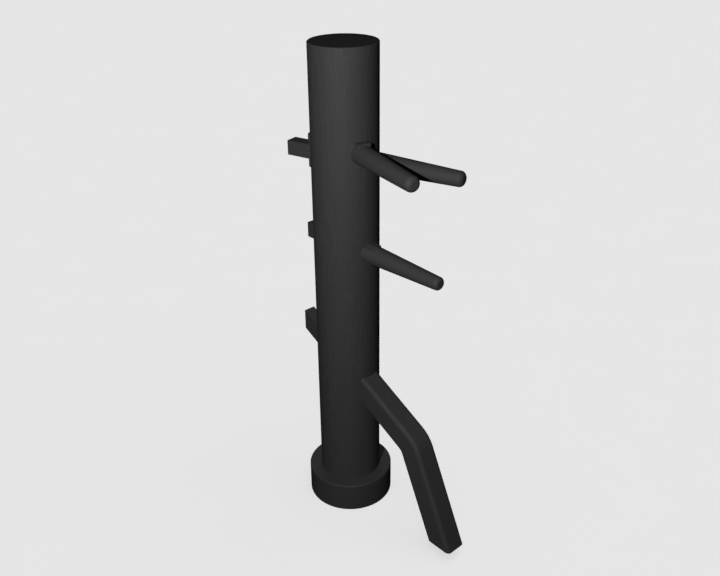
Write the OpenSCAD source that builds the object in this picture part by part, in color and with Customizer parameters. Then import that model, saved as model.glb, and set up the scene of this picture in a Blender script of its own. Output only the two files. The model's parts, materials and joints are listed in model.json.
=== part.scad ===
// Free-standing wooden wing dummy: a round trunk in a base collar, three arms and a bent leg.
// Each limb has a tenon right through the trunk, and a tapered peg behind the trunk locks it.
// The trunk's axis is Z, the floor is z = 0 and the front, where the limbs point, is -Y.

/* [Trunk] */
// Diameter of the trunk
trunk_d = 221.5; // [214:0.5:225]
// Height of the trunk's top above the floor
trunk_top = 1698; // [1600:1:1750]
// Bevel round the trunk's top edge
trunk_bevel = 2; // [1:0.5:4]

/* [Base] */
// Outer diameter of the base collar
collar_d = 310; // [290:1:340]
// Height of the collar's top above the floor
collar_top = 110; // [95:1:130]
// Bevel round the collar's top outer edge
collar_bevel = 2.5; // [1:0.5:6]
// Thickness of the base disc under the trunk
disc_h = 24; // [22:1:30]
// Diameter of the base disc
disc_d = 272; // [264:1:280]
// Gap that the rubber mat leaves under the collar
mat_gap = 0.5; // [0.5:0.5:3]
// Thickness of the rubber mat
mat_h = 4; // [3:0.5:6]

/* [Arms] */
// Diameter of an upper arm where it leaves the trunk
upper_root_d = 66.5; // [60:0.5:66.5]
// Diameter of an upper arm just before its rounded end
upper_tip_d = 49.5; // [40:0.5:52]
// Diameter of the lower arm where it leaves the trunk
lower_root_d = 68; // [60:0.5:70]
// Diameter of the lower arm just before its rounded end
lower_tip_d = 44; // [40:0.5:52]
// Radius of the rounding on an upper arm's end
upper_round = 16; // [8:1:20]
// Radius of the rounding on the lower arm's end
lower_round = 12; // [8:1:20]
// Angle of each upper arm away from the front
arm_splay = 14.6; // [14.6:0.1:18]
// Height of the left upper arm's axis
left_arm_z = 1373.5; // [1373.5:0.5:1378]
// Height of the right upper arm's axis
right_arm_z = 1336; // [1330:0.5:1336]
// Height of the left arm's tenon, at its middle
left_tenon_z = 1387.5; // [1387.5:0.5:1390]
// Height of the right arm's tenon, at its middle
right_tenon_z = 1334.5; // [1332:0.5:1334.5]
// Width of an upper arm's tenon
upper_tenon_w = 44; // [38:1:48]
// Height of an upper arm's tenon
upper_tenon_h = 49; // [42:1:49]
// Distance from the trunk's axis to an upper arm's tip
upper_reach = 425; // [380:1:450]
// Distance from the trunk's axis to an upper arm's tail end
upper_tail = 215; // [180:1:230]
// Distance from the trunk's axis to the end of an upper arm's square root
upper_square = 135; // [125:1:145]
// Height of the lower arm's axis
lower_arm_z = 1031; // [950:1:1100]
// Height of the lower arm's tenon, at its middle
lower_tenon_z = 1033; // [952:1:1102]
// Width of the lower arm's tenon
lower_tenon_w = 48; // [40:1:50]
// Height of the lower arm's tenon
lower_tenon_h = 54; // [44:1:56]
// Distance from the trunk's axis to the lower arm's tip
lower_reach = 428; // [380:1:450]
// Distance from the trunk's axis to the lower arm's tail end
lower_tail = 178; // [160:1:230]
// Distance from the trunk's axis to the end of the lower arm's square root
lower_square = 144; // [125:1:150]
// Distance that an arm slides in its mortise
arm_play = 5.5; // [2:0.5:8]

/* [Leg] */
// Slope of the thigh below the horizontal
thigh_slope = 27.4; // [24:0.1:32]
// Lean of the shin from the vertical
shin_lean = 24.6; // [18:0.1:28]
// Height at which the thigh's middle line crosses the trunk's axis
thigh_z = 559; // [530:1:600]
// Distance from the trunk's axis to the knee, along the middle lines
knee_reach = 339.5; // [320:0.5:360]
// Depth of the leg, in the plane of its bend
leg_depth = 93; // [84:1:96]
// Width of the leg
leg_width = 81.5; // [60:0.5:86]
// Radius inside the bend of the knee
knee_inner_r = 30; // [30:1:60]
// Rounding of the leg's long edges
leg_round = 14.5; // [4:0.5:16]
// Height of the foot's flat end above the floor
foot_z = 40; // [15:1:50]
// Depth of the leg's tenon, square to its slope
leg_tenon_depth = 66; // [55:0.5:70]
// Width of the leg's tenon
leg_tenon_w = 43.5; // [36:0.5:48]
// Distance from the trunk's axis to the leg's tail end
leg_tail = 218; // [190:1:240]
// Distance that the leg slides in its mortise
leg_play = 2.7; // [1:0.1:4]

/* [Pegs] */
// Middle diameter of a locking peg
peg_d = 25; // [18:1:26]
// Difference in diameter between a peg's top and its bottom
peg_taper = 1.2; // [0.8:0.2:3]
// Length of peg that stands above a tenon
peg_above = 32; // [15:1:35]
// Length of peg that shows below a tenon
peg_below = 33; // [15:1:35]

/* [Hidden] */

$fn = 96;
charcoal = [0.20, 0.20, 0.20];
charcoal_peg = [0.23, 0.22, 0.21];
zinc = [0.70, 0.71, 0.73];
black_rubber = [0.08, 0.08, 0.08];

trunk_r = trunk_d / 2;
surface_gap = 0.3;         // between curved faces of two pieces that don't touch
mortise_gap = 0.5;         // on each side of a tenon
peg_fit = 0.08;            // all round a peg in its hole
edge = 2;                  // bevel on the ends of tenons and pegs
foot_bevel = 0.5;          // bevel round the collar's lower edge
through = trunk_d + 40;    // longer than any cut through the trunk
front = -90;               // azimuth of the dummy's front
left_az = front - arm_splay;
right_az = front + arm_splay;

// The trunk stands on the base disc, which is let into the collar from below
trunk_foot = mat_h + disc_h;
socket_gap = 0.3;
mat_d = collar_d - 14;

// The pegs stand just behind the trunk, clear of it even at their wide tops
peg_top_r = peg_d / 2 + peg_taper / 4;
leg_peg_x = -(trunk_r + surface_gap + peg_top_r);
arm_peg_x = leg_peg_x - arm_play;

// The leg's lines are given by their distance from the point on the trunk's axis at floor level
thigh_mid = thigh_z * cos(thigh_slope);
thigh_low = thigh_mid - leg_depth / 2;
knee_z = (thigh_mid - knee_reach * sin(thigh_slope)) / cos(thigh_slope);
knee_turn = 90 - thigh_slope - shin_lean;
knee_mid_r = knee_inner_r + leg_depth / 2;
knee_tangent = knee_mid_r * tan(knee_turn / 2);
thigh_start = 70;          // where the thigh's bar begins, inside the trunk
knee_lap = 0.2;            // length of straight bar that laps into the knee
thigh_length = (knee_reach - thigh_start) / cos(thigh_slope) - knee_tangent;
shin_length = knee_z / cos(shin_lean);
function thigh_height(offset, x) = (offset - x * sin(thigh_slope)) / cos(thigh_slope);

// Fasteners
lag_count = 4;
lag_circle_r = 60;
lag_d = 12;
lag_length = 90;
lag_head_af = 19;
lag_head_h = 7.5;
lag_point = 8;
lag_point_r = 1.5;
lag_seat_z = mat_h + 11;
washer_d = 30;
washer_h = 2.5;
washer_hole_d = 13;
counterbore_d = 34;
disc_screw_count = 8;
disc_screw_circle_r = 123;
disc_screw_d = 5;
disc_screw_head_d = 10;
disc_screw_length = 45;
disc_screw_point_r = 0.8;
disc_screw_z = mat_h + 0.5;
thread_gap = 0.05;

// Points of a quarter-circle arc that starts at angle a
function corner_arc(cx, cy, r, a) = [for (i = [0:6]) [cx + r * cos(a + 15 * i), cy + r * sin(a + 15 * i)]];

// Outline of a rectangle with rounded corners, centred on the origin
module rounded_rectangle(size_x, size_y, r) {
    x = size_x / 2 - r;
    y = size_y / 2 - r;
    polygon(concat(corner_arc(x, y, r, 0), corner_arc(-x, y, r, 90),
                   corner_arc(-x, -y, r, 180), corner_arc(x, -y, r, 270)));
}

// Outline of a bar that runs along X, with bevels at both ends
module bar_outline(x0, x1, width) {
    h = width / 2;
    polygon([[x0, edge - h], [x0 + edge, -h], [x1 - edge, -h], [x1, edge - h],
             [x1, h - edge], [x1 - edge, h], [x0 + edge, h], [x0, h - edge]]);
}

// Bar of a rectangular section along X, with bevelled ends
module bevelled_bar(x0, x1, width, height) {
    intersection() {
        linear_extrude(height, center = true) bar_outline(x0, x1, width);
        rotate([90, 0, 0]) linear_extrude(width, center = true) bar_outline(x0, x1, height);
    }
}

// Cylinder along Z with a bevel at each end
module bevelled_cylinder(r, h, low_bevel, high_bevel) {
    rotate_extrude() polygon([[0, 0], [r - low_bevel, 0], [r, low_bevel],
                              [r, h - high_bevel], [r - high_bevel, h], [0, h]]);
}

module ring_of(count, r, start = 0) {
    for (i = [0:count - 1]) rotate([0, 0, start + i * 360 / count]) translate([r, 0, 0]) children();
}

// A peg's radius grows evenly with height z above its foot
function peg_r(z, length) = peg_d / 2 + peg_taper * (z / length - 0.5) / 2;

module peg(length) {
    low_r = peg_r(0, length);
    high_r = peg_r(length, length);
    rotate_extrude() polygon([[0, 0], [low_r - edge, 0], [low_r, edge],
                              [high_r, length - edge], [high_r - edge, length], [0, length]]);
}

module peg_hole(length) {
    cylinder(h = length, r1 = peg_r(0, length) + peg_fit, r2 = peg_r(length, length) + peg_fit);
}

// Round tapered part of an arm, along +X, with its rounded end at x = reach
module arm_body(reach, root_d, tip_d, rounding) {
    start_x = trunk_r - 20;
    root_r = root_d / 2;
    tip_r = tip_d / 2;
    end_arc = [for (i = [0:9]) [tip_r - rounding + rounding * cos(10 * i),
                                reach - rounding + rounding * sin(10 * i)]];
    rotate([0, 90, 0]) rotate_extrude()
        polygon(concat([[0, start_x], [root_r, start_x], [root_r, trunk_r - 4]], end_arc, [[0, reach]]));
}

// Arm along +X: its shoulder follows the trunk's round face
module arm(axis_z, tenon_z, tenon_w, tenon_h, square_x, tail_x) {
    difference() {
        union() {
            difference() {
                translate([0, 0, axis_z]) children();
                cylinder(h = trunk_top, r = trunk_r + surface_gap);
            }
            translate([0, 0, tenon_z]) bevelled_bar(-tail_x, square_x, tenon_w, tenon_h);
        }
        arm_peg_place(tenon_z, tenon_h) peg_hole(arm_peg_length(tenon_h));
    }
}

module upper_arm(axis_z, tenon_z) {
    arm(axis_z, tenon_z, upper_tenon_w, upper_tenon_h, upper_square, upper_tail)
        arm_body(upper_reach, upper_root_d, upper_tip_d, upper_round);
}

function arm_peg_length(tenon_h) = tenon_h + peg_above + peg_below;

module arm_peg_place(tenon_z, tenon_h) {
    translate([arm_peg_x, 0, tenon_z - tenon_h / 2 - peg_below]) children();
}

module arm_peg(tenon_z, tenon_h) {
    arm_peg_place(tenon_z, tenon_h) peg(arm_peg_length(tenon_h));
}

module arm_mortise(tenon_z, tenon_w, tenon_h) {
    translate([0, 0, tenon_z])
        cube([through, tenon_w + 2 * mortise_gap, tenon_h + 2 * mortise_gap], center = true);
}

// Sloping bar along X between two heights, with the width across Y
module sloping_bar(x0, x1, low, high, width, bevel) {
    rotate([90, 0, 0]) linear_extrude(width, center = true)
        polygon([[x0, thigh_height(low, x0) + bevel], [x0 + bevel, thigh_height(low, x0 + bevel)],
                 [x1, thigh_height(low, x1)], [x1, thigh_height(high, x1)],
                 [x0 + bevel, thigh_height(high, x0 + bevel)], [x0, thigh_height(high, x0) - bevel]]);
}

// Leg's tenon, whose lower face runs straight on from the thigh's
module leg_tenon() {
    inside_thigh = trunk_r + 40;
    w = leg_tenon_w / 2;
    z_low = thigh_height(thigh_low, inside_thigh) - 1;
    z_high = thigh_height(thigh_low + leg_tenon_depth, -leg_tail) + 1;
    intersection() {
        sloping_bar(-leg_tail, inside_thigh, thigh_low, thigh_low + leg_tenon_depth, leg_tenon_w, edge);
        translate([0, 0, z_low]) linear_extrude(z_high - z_low)
            polygon([[-leg_tail, edge - w], [edge - leg_tail, -w], [inside_thigh, -w],
                     [inside_thigh, w], [edge - leg_tail, w], [-leg_tail, w - edge]]);
    }
}

leg_peg_low = thigh_height(thigh_low, leg_peg_x) - peg_below;
leg_peg_length = thigh_height(thigh_low + leg_tenon_depth, leg_peg_x) + peg_above - leg_peg_low;

module leg_section() {
    rounded_rectangle(leg_depth, leg_width, leg_round);
}

// Thigh, knee and shin, bent in the XZ plane: the straight bars run a little way into the knee
module leg_body() {
    bar_start = knee_tangent - knee_lap;
    translate([knee_reach, 0, knee_z]) {
        rotate([0, thigh_slope - 90, 0]) translate([0, 0, bar_start])
            linear_extrude(thigh_length) leg_section();
        rotate([0, 180 - shin_lean, 0]) translate([0, 0, bar_start])
            linear_extrude(shin_length) leg_section();
    }
    centre_x = knee_reach - knee_tangent * cos(thigh_slope) - knee_mid_r * sin(thigh_slope);
    centre_z = knee_z + knee_tangent * sin(thigh_slope) - knee_mid_r * cos(thigh_slope);
    translate([centre_x, 0, centre_z]) rotate([90, 0, 0]) rotate([0, 0, shin_lean])
        rotate_extrude(angle = knee_turn) translate([knee_mid_r, 0]) leg_section();
}

module trunk() {
    color(charcoal) difference() {
        translate([0, 0, trunk_foot])
            bevelled_cylinder(trunk_r, trunk_top - trunk_foot, edge, trunk_bevel);
        rotate([0, 0, left_az]) arm_mortise(left_tenon_z, upper_tenon_w, upper_tenon_h);
        rotate([0, 0, right_az]) arm_mortise(right_tenon_z, upper_tenon_w, upper_tenon_h);
        rotate([0, 0, front]) arm_mortise(lower_tenon_z, lower_tenon_w, lower_tenon_h);
        rotate([0, 0, front])
            sloping_bar(-through / 2, through / 2, thigh_low - mortise_gap,
                        thigh_low + leg_tenon_depth + mortise_gap, leg_tenon_w + 2 * mortise_gap, 0);
        ring_of(lag_count, lag_circle_r, 45) translate([0, 0, lag_seat_z - washer_h])
            lag_shank(thread_gap);
    }
}

module base_collar() {
    color(charcoal) difference() {
        translate([0, 0, mat_gap])
            bevelled_cylinder(collar_d / 2, collar_top - mat_gap, foot_bevel, collar_bevel);
        cylinder(h = collar_top + 1, r = trunk_r + socket_gap);
        cylinder(h = trunk_foot, d = disc_d + 2 * socket_gap);
        cylinder(h = mat_h, d = mat_d + 2 * mortise_gap);
        ring_of(disc_screw_count, disc_screw_circle_r) disc_screw(thread_gap);
    }
}

module base_disc() {
    color(charcoal) difference() {
        translate([0, 0, mat_h]) cylinder(h = disc_h, d = disc_d);
        ring_of(lag_count, lag_circle_r, 45) {
            cylinder(h = trunk_foot + 1, d = washer_hole_d);
            cylinder(h = lag_seat_z, d = counterbore_d);
        }
        ring_of(disc_screw_count, disc_screw_circle_r) {
            disc_screw(thread_gap);
            cylinder(h = disc_screw_z + 0.01, d = disc_screw_head_d + 2 * thread_gap);
        }
    }
}

module floor_mat() {
    color(black_rubber) cylinder(h = mat_h, d = mat_d);
}

module upper_arm_left() {
    color(charcoal) rotate([0, 0, left_az]) upper_arm(left_arm_z, left_tenon_z);
}

module upper_arm_right() {
    color(charcoal) rotate([0, 0, right_az]) upper_arm(right_arm_z, right_tenon_z);
}

module lower_arm() {
    color(charcoal) rotate([0, 0, front])
        arm(lower_arm_z, lower_tenon_z, lower_tenon_w, lower_tenon_h, lower_square, lower_tail)
            arm_body(lower_reach, lower_root_d, lower_tip_d, lower_round);
}

module leg() {
    shoulder_r = trunk_r + surface_gap + leg_play * cos(thigh_slope);
    color(charcoal) rotate([0, 0, front]) difference() {
        union() {
            difference() {
                leg_body();
                cylinder(h = trunk_top, r = shoulder_r);
            }
            leg_tenon();
        }
        translate([0, 0, foot_z - leg_depth * 2])
            linear_extrude(leg_depth * 2) square(4 * knee_reach, center = true);
        translate([leg_peg_x, 0, leg_peg_low]) peg_hole(leg_peg_length);
    }
}

module upper_left_peg() {
    color(charcoal_peg) rotate([0, 0, left_az]) arm_peg(left_tenon_z, upper_tenon_h);
}

module upper_right_peg() {
    color(charcoal_peg) rotate([0, 0, right_az]) arm_peg(right_tenon_z, upper_tenon_h);
}

module lower_peg() {
    color(charcoal_peg) rotate([0, 0, front]) arm_peg(lower_tenon_z, lower_tenon_h);
}

module leg_peg() {
    color(charcoal_peg) rotate([0, 0, front]) translate([leg_peg_x, 0, leg_peg_low]) peg(leg_peg_length);
}

// Shank of a lag screw with its point, from under the head upwards
module lag_shank(gap) {
    r = lag_d / 2 + gap;
    cylinder(h = lag_length - lag_point, r = r);
    translate([0, 0, lag_length - lag_point]) cylinder(h = lag_point, r1 = r, r2 = lag_point_r + gap);
}

module lag_screws() {
    color(zinc) ring_of(lag_count, lag_circle_r, 45) translate([0, 0, lag_seat_z - washer_h]) {
        lag_shank(0);
        translate([0, 0, -lag_head_h])
            cylinder(h = lag_head_h, d = lag_head_af / cos(30), $fn = 6);
    }
}

module lag_washers() {
    color(zinc) ring_of(lag_count, lag_circle_r, 45) translate([0, 0, lag_seat_z - washer_h])
        difference() {
            cylinder(h = washer_h, d = washer_d);
            translate([0, 0, -1]) cylinder(h = washer_h + 2, d = washer_hole_d);
        }
}

// Countersunk wood screw from below, with its head at the bottom
module disc_screw(gap) {
    r = disc_screw_d / 2;
    head_r = disc_screw_head_d / 2;
    top = disc_screw_length + gap;
    translate([0, 0, disc_screw_z]) rotate_extrude()
        polygon([[0, 0], [head_r + gap, 0], [r + gap, head_r - r],
                 [r + gap, disc_screw_length - disc_screw_d], [disc_screw_point_r + gap, top], [0, top]]);
}

module disc_screws() {
    color(zinc) ring_of(disc_screw_count, disc_screw_circle_r) disc_screw(0);
}

trunk();
base_collar();
base_disc();
floor_mat();
upper_arm_left();
upper_arm_right();
lower_arm();
leg();
upper_left_peg();
upper_right_peg();
lower_peg();
leg_peg();
lag_screws();
lag_washers();
disc_screws();
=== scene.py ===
import json
import math

import bpy
from mathutils import Matrix, Vector


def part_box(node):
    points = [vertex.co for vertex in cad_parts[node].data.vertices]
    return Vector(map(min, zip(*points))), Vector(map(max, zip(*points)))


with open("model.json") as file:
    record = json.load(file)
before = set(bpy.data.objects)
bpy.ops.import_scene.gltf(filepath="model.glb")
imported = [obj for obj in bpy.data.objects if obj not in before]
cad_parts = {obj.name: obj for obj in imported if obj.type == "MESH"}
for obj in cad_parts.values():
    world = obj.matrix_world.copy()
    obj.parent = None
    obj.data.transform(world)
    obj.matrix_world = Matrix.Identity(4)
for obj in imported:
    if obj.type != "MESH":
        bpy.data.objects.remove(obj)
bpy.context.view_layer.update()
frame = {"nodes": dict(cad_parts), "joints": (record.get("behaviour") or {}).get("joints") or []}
nodes = frame["nodes"]
scene = bpy.context.scene


# ---------------------------------------------------------------- camera

VIEW_AZIMUTH = math.radians(-41.4)      # round the trunk, from straight in front
VIEW_DISTANCE = 2.5944                  # from the trunk's axis
VIEW_HEIGHT = 2.2079
VIEW_PITCH = math.radians(27.478)       # downwards
VIEW_YAW = math.radians(0.951)
VIEW_ROLL = math.radians(-0.600)
VIEW_LENS = 42.245
SENSOR_WIDTH = 36
NEAR_CLIP = 0.05
turn_to_view = Matrix.Rotation(VIEW_AZIMUTH, 4, "Z")


def make_camera():
    forward = Vector((math.sin(VIEW_YAW) * math.cos(VIEW_PITCH),
                      math.cos(VIEW_YAW) * math.cos(VIEW_PITCH),
                      -math.sin(VIEW_PITCH)))
    right = forward.cross(Vector((0, 0, 1))).normalized()
    up = right.cross(forward)
    c, s = math.cos(VIEW_ROLL), math.sin(VIEW_ROLL)
    turned_right = c * right + s * up
    turned_up = c * up - s * right
    pose = Matrix((turned_right, turned_up, -forward)).transposed().to_4x4()
    pose.translation = Vector((0, -VIEW_DISTANCE, VIEW_HEIGHT))
    data = bpy.data.cameras.new("camera")
    data.sensor_width = SENSOR_WIDTH
    data.lens = VIEW_LENS
    data.clip_start = NEAR_CLIP
    data.dof.use_dof = False
    camera = bpy.data.objects.new("camera", data)
    camera.matrix_world = turn_to_view @ pose
    scene.collection.objects.link(camera)
    scene.camera = camera


# ---------------------------------------------------------------- node graphs

class Graph:
    """A material's node tree, with short calls for what this scene uses."""

    def __init__(self, name):
        self.material = bpy.data.materials.new(name)
        self.material.use_nodes = True
        self.tree = self.material.node_tree
        self.tree.nodes.clear()
        output = self.tree.nodes.new("ShaderNodeOutputMaterial")
        self.shader = self.tree.nodes.new("ShaderNodeBsdfPrincipled")
        self.link(self.shader.outputs[0], output.inputs["Surface"])

    def link(self, source, target):
        self.tree.links.new(source, target)

    def put(self, value, socket):
        if isinstance(value, bpy.types.NodeSocket):
            self.link(value, socket)
        else:
            socket.default_value = value

    def shade(self, **values):
        """Sets or links the shader's own sockets, such as Base_Color."""
        for key, value in values.items():
            self.put(value, self.shader.inputs[key.replace("_", " ")])

    def node(self, kind, values=(), **settings):
        n = self.tree.nodes.new("ShaderNode" + kind)
        for key, value in settings.items():
            setattr(n, key, value)
        for key, value in dict(values).items():
            self.put(value, n.inputs[key])
        return n

    def place(self):
        return self.node("TexCoord").outputs["Object"]

    def math(self, operation, a, b=0.0, c=0.0, clamp=False):
        n = self.node("Math", {0: a, 1: b, 2: c}, operation=operation, use_clamp=clamp)
        return n.outputs[0]

    def vector_math(self, operation, a, b, output):
        n = self.node("VectorMath", {0: a, 1: b}, operation=operation)
        return n.outputs[output]

    def step(self, value, low, high):
        """0 below low, 1 above high, smooth between."""
        n = self.node("MapRange", {"Value": value, "From Min": low, "From Max": high},
                      interpolation_type="SMOOTHSTEP")
        return n.outputs[0]

    def noise(self, where, scale=(1, 1, 1), offset=(0, 0, 0), detail=2.0, roughness=0.5):
        """Noise that varies scale times a metre along each axis."""
        moved = self.node("Mapping", {"Vector": where, "Scale": scale, "Location": offset})
        n = self.node("TexNoise", {"Vector": moved.outputs[0], "Scale": 1.0,
                                   "Detail": detail, "Roughness": roughness})
        return n.outputs["Fac"]

    def mix(self, fac, a, b):
        n = self.node("Mix", data_type="RGBA")
        self.put(fac, n.inputs["Factor"])
        for colour, key in ((a, "A"), (b, "B")):
            flat = not isinstance(colour, bpy.types.NodeSocket)
            self.put((*colour, 1) if flat else colour, n.inputs[key])
        return n.outputs["Result"]

    def bump(self, height, depth, strength=1.0):
        n = self.node("Bump", {"Height": height, "Distance": depth, "Strength": strength})
        return n.outputs[0]

    def facing(self, direction):
        """Cosine of the angle between the surface and a direction."""
        here = self.node("NewGeometry").outputs["Normal"]
        return self.vector_math("DOT_PRODUCT", here, direction, "Value")

    def edges(self, radius):
        """Above 0 on an edge of the piece, falling to 0 at about the radius away from it."""
        wide = self.node("Bevel", {"Radius": radius}, samples=6).outputs[0]
        return self.math("SUBTRACT", 1.0, self.facing(wide))


# ---------------------------------------------------------------- materials

STAIN = 0.100            # reflectance of the stained wood
RING_GAP = 0.0042        # between two growth rings
EDGE_WIDTH = 0.0035      # of the rubbed strip along an edge
EDGE_WEAR = 0.28         # how much paler that strip is
LEG_EDGE_WEAR = 0.08     # the same on the leg's rounded edges
END_DARK = 0.10          # how much darker the stain is on sanded end grain
TOP_STAIN_AND_PAINTED_SHADE = 0.44          # the same on the trunk's top: end-grain stain plus painted shade, as dark as a top lit at a grazing angle
GRAIN_DEPTH = 0.00016


def growth_rings(g, here, seed):
    """0 in early wood, 1 in late wood. here has its Z along the tree's middle line."""
    sway = g.noise(here, (5, 5, 1.1), (seed, 0, seed))
    flutter = g.noise(here, (28, 28, 2.2), (0, seed, 0))
    across = g.vector_math("MULTIPLY", here, (1, 1, 0), 0)
    radius = g.vector_math("LENGTH", across, (0, 0, 0), "Value")
    bent = g.math("MULTIPLY_ADD", sway, 0.075, radius)
    bent = g.math("MULTIPLY_ADD", flutter, 0.005, bent)
    saw = g.math("FRACT", g.math("DIVIDE", bent, RING_GAP))
    fall = g.math("SUBTRACT", 1.0, g.step(saw, 0.93, 1.0))
    return g.math("MULTIPLY", g.step(saw, 0.35, 0.92), fall)


def wood(name, along, pith, seed, tone=1.0, warm=0.0, end_stain_and_shade=END_DARK, wear=EDGE_WEAR):
    """Black-stained hardwood: growth rings round a pith line, fine fibres and open pores.
    along is the grain's direction, and pith a point on the tree's middle line."""
    g = Graph(name)
    along = Vector(along).normalized()
    turn = along.rotation_difference(Vector((0, 0, 1))).to_euler()
    place = g.place()
    moved = g.node("Mapping", {"Vector": place, "Location": tuple(-p for p in pith)})
    turned = g.node("Mapping", {"Vector": moved.outputs[0], "Rotation": tuple(turn)})
    here = turned.outputs[0]

    late = growth_rings(g, here, seed)
    fibre = g.noise(here, (900, 900, 16), (seed, seed, 0), 3.0, 0.6)
    streak = g.noise(here, (95, 95, 2.6), (0, 0, seed), 3.0, 0.55)
    pore = g.step(g.noise(here, (1500, 1500, 55), (seed, 0, 0), 1.0), 0.60, 0.70)
    cloud = g.noise(here, (7, 7, 2.5), (0, seed, seed))

    # The stain takes unevenly on rings, streaks and fibres, and collects in the pores
    base = STAIN * tone
    light = (base * 1.16 * (1 + warm), base * 1.15, base * 1.14 * (1 - warm))
    dark = (base * 0.84, base * 0.84, base * 0.85)
    deep = (base * 0.45,) * 3
    rubbed = (base * 1.9, base * 1.86, base * 1.8)
    mixed = g.math("MULTIPLY_ADD", late, 0.30, -0.10)
    mixed = g.math("MULTIPLY_ADD", streak, 0.45, mixed)
    mixed = g.math("MULTIPLY_ADD", cloud, 0.35, mixed)
    mixed = g.math("MULTIPLY_ADD", fibre, 0.25, mixed, clamp=True)
    colour = g.mix(mixed, dark, light)
    colour = g.mix(g.math("MULTIPLY", pore, 0.55), colour, deep)

    # End grain drinks more of the stain; on the trunk's top the amount is raised to paint in
    # shade as well
    end_grain = g.step(g.math("ABSOLUTE", g.facing(along)), 0.90, 0.97)
    colour = g.mix(g.math("MULTIPLY", end_grain, end_stain_and_shade), colour, deep)

    # Rubbed edges show a little paler
    rub = g.noise(place, (38, 38, 38), (seed, 0, 0), 3.0, 0.6)
    worn = g.math("MULTIPLY", g.step(g.edges(EDGE_WIDTH), 0.02, 0.26), g.step(rub, 0.42, 0.66))
    colour = g.mix(g.math("MULTIPLY", worn, wear), colour, rubbed)

    rough = g.math("MULTIPLY_ADD", streak, 0.10, 0.61)
    rough = g.math("MULTIPLY_ADD", pore, 0.12, rough)
    rough = g.math("MULTIPLY_ADD", worn, -0.10, rough)
    height = g.math("MULTIPLY_ADD", late, 0.30, g.math("MULTIPLY", fibre, 0.45))
    height = g.math("MULTIPLY_ADD", pore, -0.8, height)
    g.shade(Base_Color=colour, Roughness=rough, IOR=1.5, Normal=g.bump(height, GRAIN_DEPTH, 0.8))
    return g.material


def rubber(name):
    g = Graph(name)
    place = g.place()
    grit = g.noise(place, (900, 900, 900))
    cloud = g.noise(place, (22, 22, 22), detail=3.0)
    mixed = g.math("MULTIPLY_ADD", grit, 0.5, g.math("MULTIPLY", cloud, 0.5))
    g.shade(Base_Color=g.mix(mixed, (0.012, 0.012, 0.012), (0.030, 0.030, 0.031)),
            Roughness=g.math("MULTIPLY_ADD", cloud, 0.12, 0.74),
            Normal=g.bump(grit, 0.0004))
    return g.material


def zinc(name, seed):
    g = Graph(name)
    place = g.place()
    turned = g.noise(place, (160, 160, 2600), (seed, 0, 0))
    bloom = g.noise(place, (120, 120, 120), (0, seed, 0), 3.0, 0.6)
    g.shade(Base_Color=g.mix(bloom, (0.50, 0.51, 0.53), (0.66, 0.66, 0.64)), Metallic=1.0,
            Roughness=g.math("MULTIPLY_ADD", bloom, 0.22, 0.26),
            Normal=g.bump(turned, 0.00008, 0.6))
    return g.material


# ---------------------------------------------------------------- pieces

UP = (0, 0, 1)
ARM_SEEDS = {"upper_arm_left": 12.3, "upper_arm_right": 17.9, "lower_arm": 23.4}
PEGS = ("upper_left_peg", "upper_right_peg", "lower_peg", "leg_peg")
METAL = ("lag_screws", "lag_washers", "disc_screws")


def beside(node, offset):
    """A point at an offset from the middle of a node's box."""
    low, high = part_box(node)
    return (Vector(low) + Vector(high)) / 2 + Vector(offset)


def axis_of(joint):
    return next(j for j in frame["joints"] if j["name"] == joint)["axis"]


def finish_piece(node, material):
    materials = nodes[node].data.materials
    materials.clear()
    materials.append(material)


def dress():
    # The trunk's top gets extra darkening: painted shade on top of the end-grain stain
    finish_piece("trunk", wood("trunk_wood", UP, (0.024, -0.017, 0.4), 3.1,
                               end_stain_and_shade=TOP_STAIN_AND_PAINTED_SHADE))
    finish_piece("base_collar", wood("collar_wood", (0.75, -0.66, 0.02), (0.05, 0.02, -0.16),
                                     8.7, 0.97))
    finish_piece("base_disc", wood("disc_wood", (0.2, 1, 0), (0, 0.02, -0.12), 5.2, 0.97))
    finish_piece("floor_mat", rubber("mat_rubber"))
    for node, seed in ARM_SEEDS.items():
        pith = beside(node, (0.015, 0.01, 0.03))
        finish_piece(node, wood(node + "_wood", axis_of(node + "_slide"), pith, seed, 1.02))
    pith = beside("leg", (0.02, 0.0, 0.09))
    finish_piece("leg", wood("leg_wood", axis_of("leg_slide"), pith, 31.7, 1.02,
                             wear=LEG_EDGE_WEAR))
    for i, node in enumerate(PEGS):
        pith = beside(node, (0.02, 0.012, 0))
        finish_piece(node, wood(node + "_wood", UP, pith, 41.0 + 3 * i, 1.05, 0.02))
    for i, node in enumerate(METAL):
        finish_piece(node, zinc(node + "_zinc", 2.0 * i))


# ---------------------------------------------------------------- studio

FLOOR_HALF = 30.0
BACKDROP_GREY = 0.79     # what the camera sees past the floor
AMBIENT_GREY = 0.010     # what the surroundings add to the object
FLOOR_LIGHT_PLACE = (0.4, -0.6, 3)
FLOOR_LIGHT_ANGLE = math.radians(70)


def link_light(light, floor, state):
    """Keeps a light off the floor (EXCLUDE) or for the floor alone (INCLUDE)."""
    group = bpy.data.collections.new(light.name + "_receivers")
    group.objects.link(floor)
    light.light_linking.receiver_collection = group
    for link in group.collection_objects:
        link.light_linking.link_state = state


def make_light(kind, name, place, aim, energy):
    """A light whose place and aim are given as seen from the camera's side of the trunk."""
    data = bpy.data.lights.new(name, kind)
    data.energy = energy
    light = bpy.data.objects.new(name, data)
    light.location = turn_to_view @ Vector(place)
    target = turn_to_view @ Vector(aim)
    light.rotation_euler = (target - light.location).to_track_quat("-Z", "Y").to_euler()
    light.visible_camera = False
    scene.collection.objects.link(light)
    return light


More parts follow.
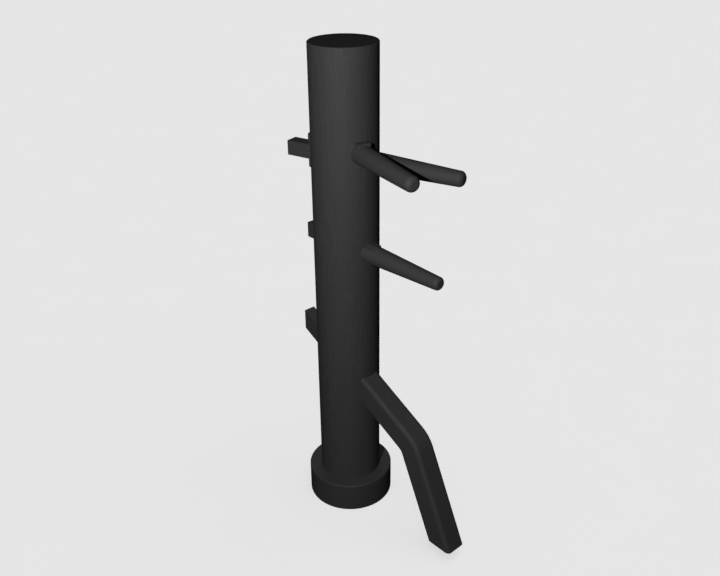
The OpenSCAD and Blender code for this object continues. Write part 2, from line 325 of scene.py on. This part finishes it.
def make_floor():
    half = FLOOR_HALF
    mesh = bpy.data.meshes.new("floor")
    corners = [(-half, -half, 0), (half, -half, 0), (half, half, 0), (-half, half, 0)]
    mesh.from_pydata(corners, [], [(0, 1, 2, 3)])
    floor = bpy.data.objects.new("floor", mesh)
    scene.collection.objects.link(floor)
    g = Graph("floor_paint")
    mottle = g.noise(g.place(), (3, 3, 3))
    g.shade(Base_Color=g.mix(mottle, (0.79, 0.79, 0.79), (0.80, 0.80, 0.80)),
            Roughness=1.0, Specular_IOR_Level=0.0)
    mesh.materials.append(g.material)
    floor.visible_diffuse = False
    floor.visible_glossy = False
    return floor


def make_lights(floor):
    # The lamp to the left of the camera, half a metre above the trunk's top
    key = make_light("POINT", "key", (-0.514, -2.139, 2.22), (0, 0, 1), 87.5)
    key.data.shadow_soft_size = 0.02
    link_light(key, floor, "EXCLUDE")

    # A low light behind, for the dummy's back: it also lights the collar's top beside the trunk
    bounce = make_light("AREA", "floor_bounce", (0.0, 2.8, 0.3), (0, 0, 0.85), 85.0)
    bounce.data.shape = "RECTANGLE"
    bounce.data.size = 1.9
    bounce.data.size_y = 0.5
    bounce.visible_glossy = False
    link_light(bounce, floor, "EXCLUDE")

    # The floor's own light: most of it throws no shadow, the rest leaves a faint one
    for name, energy, shadow in (("floor_light", 3.01, False), ("contact_light", 0.16, True)):
        light = make_light("SUN", name, FLOOR_LIGHT_PLACE, (0, 0, 0), energy)
        light.data.angle = FLOOR_LIGHT_ANGLE
        light.data.use_shadow = shadow
        link_light(light, floor, "INCLUDE")


def make_world():
    world = bpy.data.worlds.new("studio")
    world.use_nodes = True
    tree = world.node_tree
    background = tree.nodes["Background"]
    background.inputs["Color"].default_value = (1, 1, 1, 1)
    path = tree.nodes.new("ShaderNodeLightPath")
    strength = tree.nodes.new("ShaderNodeMapRange")
    strength.inputs["To Min"].default_value = AMBIENT_GREY
    strength.inputs["To Max"].default_value = BACKDROP_GREY
    tree.links.new(path.outputs["Is Camera Ray"], strength.inputs["Value"])
    tree.links.new(strength.outputs[0], background.inputs["Strength"])
    scene.world = world
    scene.view_settings.view_transform = "Standard"


make_camera()
dress()
make_lights(make_floor())
make_world()
